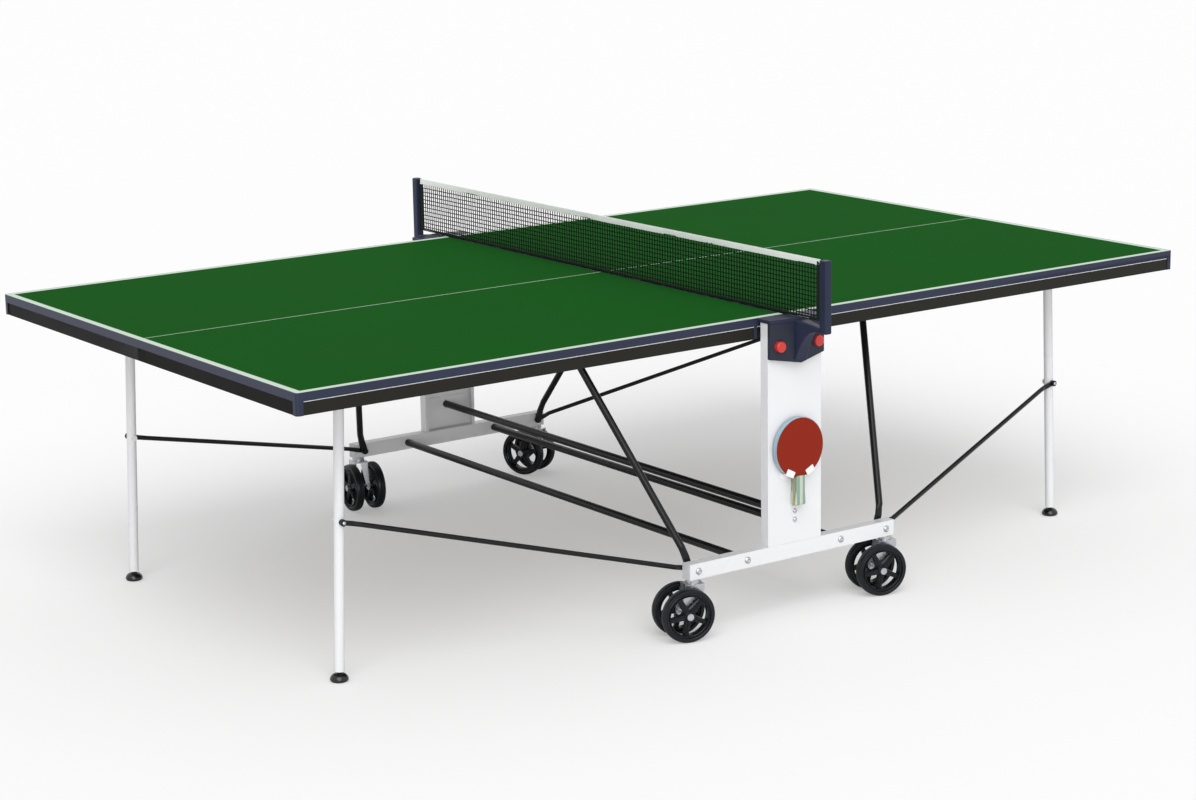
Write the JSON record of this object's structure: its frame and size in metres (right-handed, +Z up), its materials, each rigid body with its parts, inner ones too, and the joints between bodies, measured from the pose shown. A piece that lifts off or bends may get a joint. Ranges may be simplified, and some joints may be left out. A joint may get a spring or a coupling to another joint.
{
  "type": "ping pong table",
  "caption": "Folding roll-away ping pong table with green playing halves, navy edge band, net, white legs and wheeled pedestals, and a bat in its clips.",
  "frame": {"origin": "on the floor, under the middle of the net", "axes": "+X along the table's length, +Y along the net from the bat's side to the other side, +Z up"},
  "size_m": [2.74, 1.853, 0.9125],
  "materials": {
    "playing_surface": "matt green lacquer on board",
    "edge_trim": "satin navy edge band",
    "frame_paint": "satin dark powder coat",
    "white_steel": "gloss white powder coat",
    "nylon": "matt moulded nylon",
    "black_tube": "satin black powder coat",
    "foot_plastic": "gloss black moulding",
    "black_steel": "satin black powder coat",
    "grey_plastic": "matt light grey moulding",
    "zinc": "bright zinc plate",
    "navy_plastic": "fine-textured navy moulding",
    "spring_steel": "plain spring wire",
    "net_fabric": "black and green knotted mesh",
    "net_band_tape": "white woven tape",
    "clip_plastic": "matt white moulding",
    "wheel_plastic": "dark moulded plastic and rubber tread",
    "red_plastic": "satin red moulding",
    "bat_ply": "light plywood",
    "bat_grip": "pale lacquered grip",
    "bat_rubber": "matt red rubber"
  },
  "bodies": {
    "root": {"column_near": "white_steel", "column_far": "white_steel", "base_rail_near": "white_steel", "base_rail_far": "white_steel", "rail_end_caps": "grey_plastic", "tube_plates": "white_steel", "rail_fasteners": "zinc", "latch_housing_near": "navy_plastic", "latch_housing_far": "navy_plastic", "latch_springs": "spring_steel", "net_post_near": "navy_plastic", "net_post_far": "navy_plastic", "upper_cross_tube": "black_steel", "lower_cross_tubes": "black_steel", "net_mesh": "net_fabric", "net_band": "net_band_tape", "bat_clips": "clip_plastic", "caster_stems": "zinc"},
    "guides_left": {"guide_blocks_left": "nylon"},
    "half_left": {"table_top_left": "playing_surface", "edge_band_left": "edge_trim", "apron_frame_left": "frame_paint", "hinge_brackets_left": "white_steel"},
    "struts_left": {"strut_frame_left": "black_tube"},
    "legs_left": {"leg_frame_left": "white_steel"},
    "brace_near_left": {"brace_near_left": "black_tube"},
    "foot_near_left": {"levelling_foot_near_left": "foot_plastic"},
    "caster_near_left": {"caster_fork_near_left": "zinc"},
    "inner_wheel_near_left": {"wheel_inner_near_left": "wheel_plastic"},
    "outer_wheel_near_left": {"wheel_outer_near_left": "wheel_plastic"},
    "button_near_left": {"release_button_near_left": "red_plastic"},
    "brace_far_left": {"brace_far_left": "black_tube"},
    "foot_far_left": {"levelling_foot_far_left": "foot_plastic"},
    "caster_far_left": {"caster_fork_far_left": "zinc"},
    "inner_wheel_far_left": {"wheel_inner_far_left": "wheel_plastic"},
    "outer_wheel_far_left": {"wheel_outer_far_left": "wheel_plastic"},
    "button_far_left": {"release_button_far_left": "red_plastic"},
    "guides_right": {"guide_blocks_right": "nylon"},
    "half_right": {"table_top_right": "playing_surface", "edge_band_right": "edge_trim", "apron_frame_right": "frame_paint", "hinge_brackets_right": "white_steel"},
    "struts_right": {"strut_frame_right": "black_tube"},
    "legs_right": {"leg_frame_right": "white_steel"},
    "brace_near_right": {"brace_near_right": "black_tube"},
    "foot_near_right": {"levelling_foot_near_right": "foot_plastic"},
    "caster_near_right": {"caster_fork_near_right": "zinc"},
    "inner_wheel_near_right": {"wheel_inner_near_right": "wheel_plastic"},
    "outer_wheel_near_right": {"wheel_outer_near_right": "wheel_plastic"},
    "button_near_right": {"release_button_near_right": "red_plastic"},
    "brace_far_right": {"brace_far_right": "black_tube"},
    "foot_far_right": {"levelling_foot_far_right": "foot_plastic"},
    "caster_far_right": {"caster_fork_far_right": "zinc"},
    "inner_wheel_far_right": {"wheel_inner_far_right": "wheel_plastic"},
    "outer_wheel_far_right": {"wheel_outer_far_right": "wheel_plastic"},
    "button_far_right": {"release_button_far_right": "red_plastic"},
    "bat": {"bat_blade": "bat_ply", "bat_handle": "bat_grip", "bat_rubber_front": "bat_rubber", "bat_rubber_back": "bat_rubber"}
  },
  "joints": [
    {"name": "guide_drop_left", "type": "slide", "parent": "root", "child": "guides_left", "axis": [0, 0, -1], "range_m": [0, 0.46045]},
    {"name": "half_tilt_left", "type": "hinge", "parent": "guides_left", "child": "half_left", "pos_m": [-0.06, 0, 0.745], "axis": [0, 1, 0], "range_deg": [0, 90]},
    {"name": "strut_swing_left", "type": "hinge", "parent": "half_left", "child": "struts_left", "pos_m": [-0.472, 0, 0.71], "axis": [0, -1, 0], "range_deg": [0, 51.2]},
    {"name": "leg_swing_left", "type": "hinge", "parent": "half_left", "child": "legs_left", "pos_m": [-1.128, 0, 0.728], "axis": [0, -1, 0], "range_deg": [0, 84.36]},
    {"name": "brace_swing_near_left", "type": "hinge", "parent": "legs_left", "child": "brace_near_left", "pos_m": [-1.14188, -0.545, 0.38428], "axis": [0, 1, 0], "range_deg": [0, 81.85]},
    {"name": "foot_adjust_near_left", "type": "slide", "parent": "legs_left", "child": "foot_near_left", "axis": [-0.0404, 0, -0.9992], "range_m": [0, 0.01]},
    {"name": "caster_swivel_near_left", "type": "hinge", "parent": "root", "child": "caster_near_left", "pos_m": [-0.31, -0.785, 0.139], "axis": [0, 0, 1], "continuous": true},
    {"name": "inner_wheel_spin_near_left", "type": "hinge", "parent": "caster_near_left", "child": "inner_wheel_near_left", "pos_m": [-0.33403, -0.77811, 0.0675], "axis": [0.2756, 0.9613, 0], "continuous": true},
    {"name": "outer_wheel_spin_near_left", "type": "hinge", "parent": "caster_near_left", "child": "outer_wheel_near_left", "pos_m": [-0.33403, -0.77811, 0.0675], "axis": [0.2756, 0.9613, 0], "continuous": true},
    {"name": "release_button_press_near_left", "type": "slide", "parent": "root", "child": "button_near_left", "axis": [0, 1, 0], "range_m": [0, 0.005], "stiffness_N_per_m": 600, "springref_m": -0.004, "deforming": ["latch_springs"]},
    {"name": "brace_swing_far_left", "type": "hinge", "parent": "legs_left", "child": "brace_far_left", "pos_m": [-1.14188, 0.545, 0.38428], "axis": [0, 1, 0], "range_deg": [0, 81.85]},
    {"name": "foot_adjust_far_left", "type": "slide", "parent": "legs_left", "child": "foot_far_left", "axis": [-0.0404, 0, -0.9992], "range_m": [0, 0.01]},
    {"name": "caster_swivel_far_left", "type": "hinge", "parent": "root", "child": "caster_far_left", "pos_m": [-0.31, 0.785, 0.139], "axis": [0, 0, 1], "continuous": true},
    {"name": "inner_wheel_spin_far_left", "type": "hinge", "parent": "caster_far_left", "child": "inner_wheel_far_left", "pos_m": [-0.31305, 0.76019, 0.0675], "axis": [-0.9925, 0.1219, 0], "continuous": true},
    {"name": "outer_wheel_spin_far_left", "type": "hinge", "parent": "caster_far_left", "child": "outer_wheel_far_left", "pos_m": [-0.31305, 0.76019, 0.0675], "axis": [-0.9925, 0.1219, 0], "continuous": true},
    {"name": "release_button_press_far_left", "type": "slide", "parent": "root", "child": "button_far_left", "axis": [0, -1, 0], "range_m": [0, 0.005], "stiffness_N_per_m": 600, "springref_m": -0.004, "deforming": ["latch_springs"]},
    {"name": "guide_drop_right", "type": "slide", "parent": "root", "child": "guides_right", "axis": [0, 0, -1], "range_m": [0, 0.46045]},
    {"name": "half_tilt_right", "type": "hinge", "parent": "guides_right", "child": "half_right", "pos_m": [0.06, 0, 0.745], "axis": [0, -1, 0], "range_deg": [0, 90]},
    {"name": "strut_swing_right", "type": "hinge", "parent": "half_right", "child": "struts_right", "pos_m": [0.472, 0, 0.71], "axis": [0, 1, 0], "range_deg": [0, 51.2]},
    {"name": "leg_swing_right", "type": "hinge", "parent": "half_right", "child": "legs_right", "pos_m": [1.128, 0, 0.728], "axis": [0, 1, 0], "range_deg": [0, 84.36]},
    {"name": "brace_swing_near_right", "type": "hinge", "parent": "legs_right", "child": "brace_near_right", "pos_m": [1.14188, -0.545, 0.38428], "axis": [0, -1, 0], "range_deg": [0, 81.85]},
    {"name": "foot_adjust_near_right", "type": "slide", "parent": "legs_right", "child": "foot_near_right", "axis": [0.0404, 0, -0.9992], "range_m": [0, 0.01]},
    {"name": "caster_swivel_near_right", "type": "hinge", "parent": "root", "child": "caster_near_right", "pos_m": [0.31, -0.785, 0.139], "axis": [0, 0, 1], "continuous": true},
    {"name": "inner_wheel_spin_near_right", "type": "hinge", "parent": "caster_near_right", "child": "inner_wheel_near_right", "pos_m": [0.28597, -0.77811, 0.0675], "axis": [0.2756, 0.9613, 0], "continuous": true},
    {"name": "outer_wheel_spin_near_right", "type": "hinge", "parent": "caster_near_right", "child": "outer_wheel_near_right", "pos_m": [0.28597, -0.77811, 0.0675], "axis": [0.2756, 0.9613, 0], "continuous": true},
    {"name": "release_button_press_near_right", "type": "slide", "parent": "root", "child": "button_near_right", "axis": [0, 1, 0], "range_m": [0, 0.005], "stiffness_N_per_m": 600, "springref_m": -0.004, "deforming": ["latch_springs"]},
    {"name": "brace_swing_far_right", "type": "hinge", "parent": "legs_right", "child": "brace_far_right", "pos_m": [1.14188, 0.545, 0.38428], "axis": [0, -1, 0], "range_deg": [0, 81.85]},
    {"name": "foot_adjust_far_right", "type": "slide", "parent": "legs_right", "child": "foot_far_right", "axis": [0.0404, 0, -0.9992], "range_m": [0, 0.01]},
    {"name": "caster_swivel_far_right", "type": "hinge", "parent": "root", "child": "caster_far_right", "pos_m": [0.31, 0.785, 0.139], "axis": [0, 0, 1], "continuous": true},
    {"name": "inner_wheel_spin_far_right", "type": "hinge", "parent": "caster_far_right", "child": "inner_wheel_far_right", "pos_m": [0.29983, 0.80784, 0.0675], "axis": [0.9135, 0.4067, 0], "continuous": true},
    {"name": "outer_wheel_spin_far_right", "type": "hinge", "parent": "caster_far_right", "child": "outer_wheel_far_right", "pos_m": [0.29983, 0.80784, 0.0675], "axis": [0.9135, 0.4067, 0], "continuous": true},
    {"name": "release_button_press_far_right", "type": "slide", "parent": "root", "child": "button_far_right", "axis": [0, -1, 0], "range_m": [0, 0.005], "stiffness_N_per_m": 600, "springref_m": -0.004, "deforming": ["latch_springs"]},
    {"name": "bat_lift", "type": "slide", "parent": "root", "child": "bat", "axis": [0, 0, 1], "range_m": [0, 0.1]}
  ],
  "couplings": [
    {"joint": "guide_drop_left", "follows": "half_tilt_left", "m_per_rad": 0.29288},
    {"joint": "strut_swing_left", "follows": "half_tilt_left", "ratio": 0.56829},
    {"joint": "leg_swing_left", "follows": "half_tilt_left", "ratio": 0.93681},
    {"joint": "brace_swing_near_left", "follows": "half_tilt_left", "ratio": 0.90887},
    {"joint": "brace_swing_far_left", "follows": "half_tilt_left", "ratio": 0.90887},
    {"joint": "guide_drop_right", "follows": "half_tilt_right", "m_per_rad": 0.29288},
    {"joint": "strut_swing_right", "follows": "half_tilt_right", "ratio": 0.56829},
    {"joint": "leg_swing_right", "follows": "half_tilt_right", "ratio": 0.93681},
    {"joint": "brace_swing_near_right", "follows": "half_tilt_right", "ratio": 0.90887},
    {"joint": "brace_swing_far_right", "follows": "half_tilt_right", "ratio": 0.90887}
  ]
}
